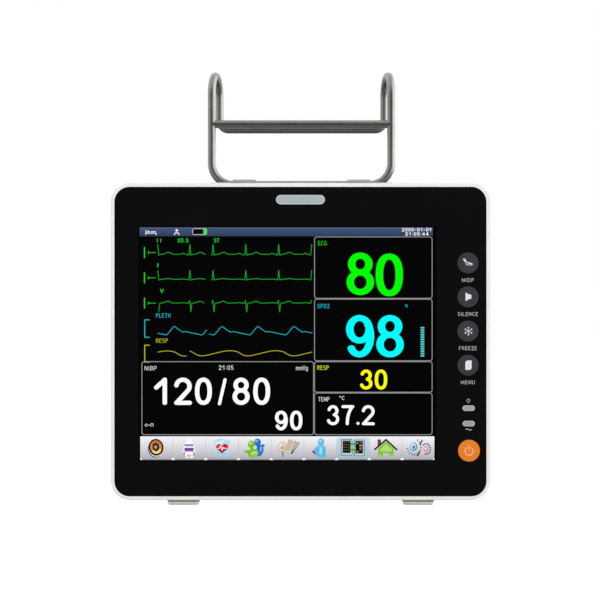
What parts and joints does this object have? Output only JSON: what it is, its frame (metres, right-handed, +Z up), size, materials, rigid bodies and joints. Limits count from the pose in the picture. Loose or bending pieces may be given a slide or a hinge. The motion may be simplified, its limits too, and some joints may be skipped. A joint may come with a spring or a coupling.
{
  "type": "patient monitor",
  "caption": "Bedside vital-signs monitor: white case, colour display, round keys, connector bay, battery door and a tilting wire carry handle.",
  "frame": {"origin": "on the table under the feet, in the middle of the width and of the overall depth", "axes": "+X to the right of a person facing the screen, +Y to the back, +Z up"},
  "size_m": [0.3154, 0.122, 0.375],
  "materials": {
    "white_case": "fine-textured white ABS",
    "black_panel": "polished black acrylic",
    "display_face": "hard-coated display cover, dark when off",
    "foam_tape": "matt foam",
    "grey_key": "soft-touch dark grey",
    "orange_key": "soft-touch orange",
    "lamp_lens": "frosted lens",
    "steel_rod": "satin drawn stainless steel",
    "strap_steel": "satin steel",
    "screw_steel": "zinc-plated steel",
    "insert_brass": "turned brass",
    "chassis_steel": "galvanised sheet",
    "circuit_board": "green solder resist",
    "board_parts": "moulded component bodies",
    "led_body": "clear epoxy",
    "saddle_plastic": "white moulding",
    "foot_plastic": "warm grey moulding",
    "foot_rubber": "light grey rubber",
    "socket_plastic": "dark moulded connector",
    "bay_plastic": "grey moulding",
    "ecg_green": "green connector",
    "spo2_blue": "blue connector",
    "plated_metal": "nickel plate",
    "pump_metal": "grey can",
    "soft_rubber": "black rubber",
    "air_hose": "silicone tube",
    "cable_sleeve": "PVC sleeve",
    "battery_wrap": "shrink wrap"
  },
  "bodies": {
    "case": {"alarm_board": "circuit_board", "alarm_lens": "lamp_lens", "battery_door_pin": "screw_steel", "battery_pack": "battery_wrap", "battery_tray": "bay_plastic", "board_screws": "screw_steel", "board_standoffs": "screw_steel", "case_screws": "screw_steel", "chassis_plate": "chassis_steel", "chassis_screws": "screw_steel", "connector_panel": "bay_plastic", "display_glass": "display_face", "display_ribbon_cable": "cable_sleeve", "earth_terminal": "plated_metal", "ecg_socket": "ecg_green", "feet": "foot_plastic", "foot_pads": "foot_rubber", "foot_screws": "screw_steel", "front_bezel": "white_case", "front_board_screws": "screw_steel", "front_panel": "black_panel", "handle_saddle": "saddle_plastic", "handle_screws": "screw_steel", "handle_straps": "strap_steel", "housing_seal": "foam_tape", "indicator_leds": "led_body", "inlet_screws": "screw_steel", "key_board": "circuit_board", "key_switches": "board_parts", "lamp_lenses": "lamp_lens", "lcd_module": "chassis_steel", "lcd_screws": "screw_steel", "main_board": "circuit_board", "main_board_parts": "board_parts", "mains_cable": "cable_sleeve", "mains_inlet": "socket_plastic", "network_socket": "plated_metal", "nibp_hose": "air_hose", "nibp_port": "insert_brass", "nibp_pump": "pump_metal", "nibp_valve": "socket_plastic", "panel_tape": "foam_tape", "parameter_board": "circuit_board", "parameter_shield": "chassis_steel", "power_supply_board": "circuit_board", "power_supply_parts": "board_parts", "pump_mount": "soft_rubber", "rear_housing": "white_case", "speaker": "socket_plastic", "spo2_socket": "spo2_blue", "temp_sockets": "socket_plastic", "threaded_inserts": "insert_brass"},
    "handle": {"handle_frame": "steel_rod", "handle_crossbar": "steel_rod"},
    "battery_door": {"battery_door": "white_case"},
    "nibp_button": {"nibp_button": "grey_key"},
    "silence_button": {"silence_button": "grey_key"},
    "freeze_button": {"freeze_button": "grey_key"},
    "menu_button": {"menu_button": "grey_key"},
    "power_button": {"power_button": "orange_key"}
  },
  "joints": [
    {"name": "handle_tilt", "type": "hinge", "parent": "case", "child": "handle", "pos_m": [0, 0.0215, 0.2745], "axis": [-1, 0, 0], "range_deg": [0, 90]},
    {"name": "battery_door_swing", "type": "hinge", "parent": "case", "child": "battery_door", "pos_m": [0, 0.041, 0.0245], "axis": [-1, 0, 0], "range_deg": [0, 95]},
    {"name": "nibp_press", "type": "slide", "parent": "case", "child": "nibp_button", "axis": [0, 1, 0], "range_m": [0, 0.0007], "stiffness_N_per_m": 2000},
    {"name": "silence_press", "type": "slide", "parent": "case", "child": "silence_button", "axis": [0, 1, 0], "range_m": [0, 0.0007], "stiffness_N_per_m": 2000},
    {"name": "freeze_press", "type": "slide", "parent": "case", "child": "freeze_button", "axis": [0, 1, 0], "range_m": [0, 0.0007], "stiffness_N_per_m": 2000},
    {"name": "menu_press", "type": "slide", "parent": "case", "child": "menu_button", "axis": [0, 1, 0], "range_m": [0, 0.0007], "stiffness_N_per_m": 2000},
    {"name": "power_press", "type": "slide", "parent": "case", "child": "power_button", "axis": [0, 1, 0], "range_m": [0, 0.0007], "stiffness_N_per_m": 2000}
  ]
}
